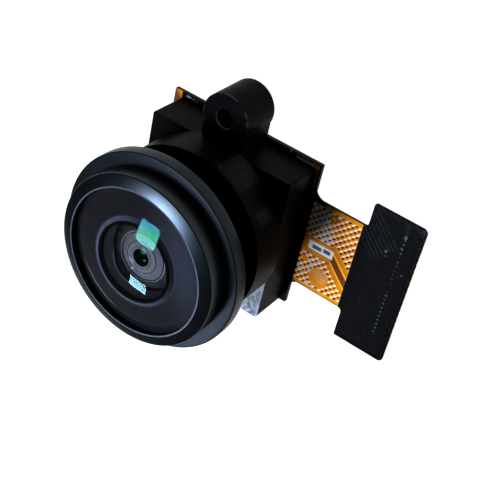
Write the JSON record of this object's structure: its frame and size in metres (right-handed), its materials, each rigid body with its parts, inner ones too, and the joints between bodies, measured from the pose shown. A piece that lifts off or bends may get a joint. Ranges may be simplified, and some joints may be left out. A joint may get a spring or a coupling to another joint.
{
  "type": "camera module",
  "caption": "Board camera module: wide-angle screw-thread lens in a square two-ear holder on a flex circuit with a short tail ending in a stiffened contact plate.",
  "frame": {"origin": "on the optical axis, at the back face of the stiffener that the module lies on", "axes": "+Z along the optical axis, out of the lens; +X along the flex tail, towards the contact plate; +Y through the upper ear"},
  "size_m": [0.0297, 0.0268, 0.0169],
  "materials": {
    "stiffener": "satin",
    "flex_circuit": "gloss",
    "plate_film": "satin",
    "gold_plate": "polished",
    "glue": "matte",
    "holder_plastic": "satin gloss",
    "barrel_metal": "black anodised, satin",
    "ring_metal": "black anodised, satin",
    "seal_rubber": "matte",
    "front_glass": "polished",
    "inner_black": "black anodised, matte",
    "lens_glass": "polished",
    "filter_glass": "polished",
    "sensor_package": "matte",
    "ceramic_chip": "satin",
    "chip_plastic": "matte",
    "can_metal": "satin"
  },
  "bodies": {
    "root": {"back_stiffener": "stiffener", "flex_board": "flex_circuit", "plate_stiffener": "plate_film", "contact_fingers": "gold_plate", "holder_glue": "glue", "lens_holder": "holder_plastic", "lens_barrel": "barrel_metal", "front_ring": "ring_metal", "front_seal": "seal_rubber", "front_element": "front_glass", "inner_ring": "inner_black", "second_element": "lens_glass", "baffle_ring": "inner_black", "third_element": "lens_glass", "aperture_stop": "inner_black", "doublet_front": "lens_glass", "doublet_rear": "lens_glass", "spacer_ring": "inner_black", "rear_element": "lens_glass", "ir_filter": "filter_glass", "image_sensor": "sensor_package", "sensor_glass": "filter_glass", "capacitors": "ceramic_chip", "regulator": "chip_plastic", "oscillator": "can_metal"}
  },
  "joints": []
}
